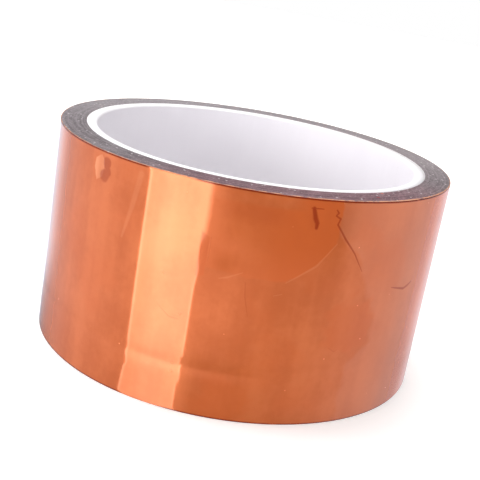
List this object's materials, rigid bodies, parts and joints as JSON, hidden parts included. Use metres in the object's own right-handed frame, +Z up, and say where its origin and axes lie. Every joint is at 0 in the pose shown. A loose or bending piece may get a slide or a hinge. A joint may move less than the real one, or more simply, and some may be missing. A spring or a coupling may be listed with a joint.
{
  "type": "polyimide tape roll",
  "caption": "Roll of glossy amber polyimide film tape wound on a white plastic core, standing on its end.",
  "frame": {"origin": "centre of the base, on the roll's axis, on the surface that the roll stands on", "axes": "+Z up along the roll's axis; -Y is the side the reference view looks at, and the tape's free end is at +Y"},
  "size_m": [0.0933, 0.0933, 0.05],
  "materials": {
    "core_plastic": "smooth white plastic tube, softly glossy",
    "amber_film": "glossy amber film with tinted reflections; the cut edges of the turns on both end faces are matt grey with fine rings"
  },
  "bodies": {
    "root": {"core": "core_plastic", "tape_winding": "amber_film"}
  },
  "joints": []
}
